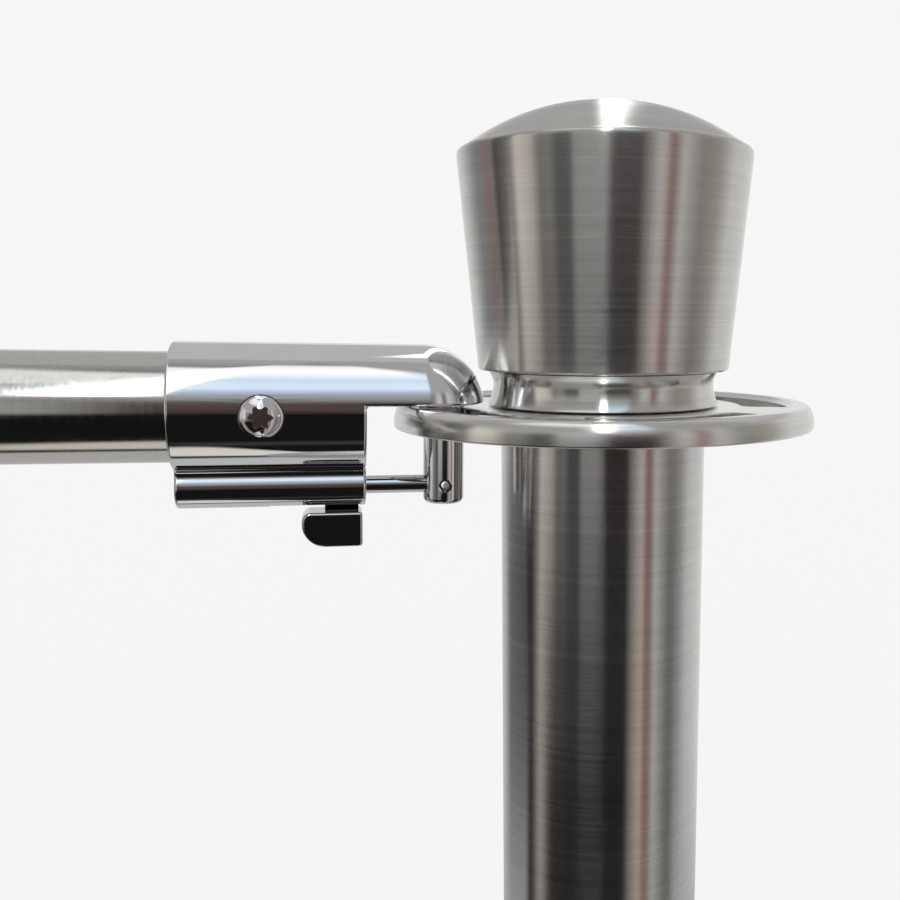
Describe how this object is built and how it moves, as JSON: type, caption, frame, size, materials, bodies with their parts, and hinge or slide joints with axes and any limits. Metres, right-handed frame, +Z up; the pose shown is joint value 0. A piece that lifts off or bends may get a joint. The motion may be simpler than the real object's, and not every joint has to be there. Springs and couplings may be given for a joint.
{
  "type": "barrier post with latching hook rail",
  "caption": "Brushed steel barrier post with tapered crown and slotted ring plate, carrying a rigid tube rail with a sprung latching hook at each end.",
  "frame": {"origin": "centre of the floor pad's underside, on the post's axis", "axes": "+Z up along the post; the rail leaves the post along -X; +X points away from the rail"},
  "size_m": [1.2091, 0.32, 1],
  "materials": {
    "brushed_steel": "turned and circumferentially brushed stainless steel",
    "polished_steel": "mirror-polished stainless tube, faint draw lines along it",
    "chrome": "bright chrome plate on die-cast zinc",
    "plain_steel": "plain machined steel",
    "cast_iron": "rough dark casting",
    "rubber": "matt black moulded rubber"
  },
  "bodies": {
    "post": {"floor_pad": "rubber", "base_weight": "cast_iron", "base_washer": "plain_steel", "base_bolt": "plain_steel", "base_cover": "brushed_steel", "base_collar": "brushed_steel", "tube_bottom_plug": "plain_steel", "post_tube": "brushed_steel", "tube_top_plug": "plain_steel", "stud_washer": "plain_steel", "stud_nut": "plain_steel", "slotted_ring": "brushed_steel", "neck_collar": "brushed_steel", "crown_insert": "plain_steel", "crown_stud": "plain_steel", "crown": "brushed_steel"},
    "rail": {"rail_tube": "polished_steel", "near_hook_housing": "chrome", "near_finger": "chrome", "near_cross_pin": "plain_steel", "near_latch_spring": "plain_steel", "near_barrel_plug": "plain_steel", "near_rail_insert": "plain_steel", "near_rail_screw": "chrome", "far_hook_housing": "chrome", "far_finger": "chrome", "far_cross_pin": "plain_steel", "far_latch_spring": "plain_steel", "far_barrel_plug": "plain_steel", "far_rail_insert": "plain_steel", "far_rail_screw": "chrome"},
    "near_latch": {"near_latch_bolt": "plain_steel", "near_trigger": "chrome", "near_trigger_screw": "plain_steel"},
    "far_latch": {"far_latch_bolt": "plain_steel", "far_trigger": "chrome", "far_trigger_screw": "plain_steel"}
  },
  "joints": [
    {"name": "rail_swing", "type": "hinge", "parent": "post", "child": "rail", "pos_m": [-0.0397, 0, 0.92775], "axis": [0, 0, 1], "range_deg": [-30, 30]},
    {"name": "near_latch_slide", "type": "slide", "parent": "rail", "child": "near_latch", "axis": [-0.9999, 0, 0.0157], "range_m": [0, 0.012], "stiffness_N_per_m": 250, "springref_m": -0.016, "deforming": ["near_latch_spring"]},
    {"name": "far_latch_slide", "type": "slide", "parent": "rail", "child": "far_latch", "axis": [0.9999, 0, -0.0157], "range_m": [0, 0.012], "stiffness_N_per_m": 250, "springref_m": -0.016, "deforming": ["far_latch_spring"]}
  ]
}
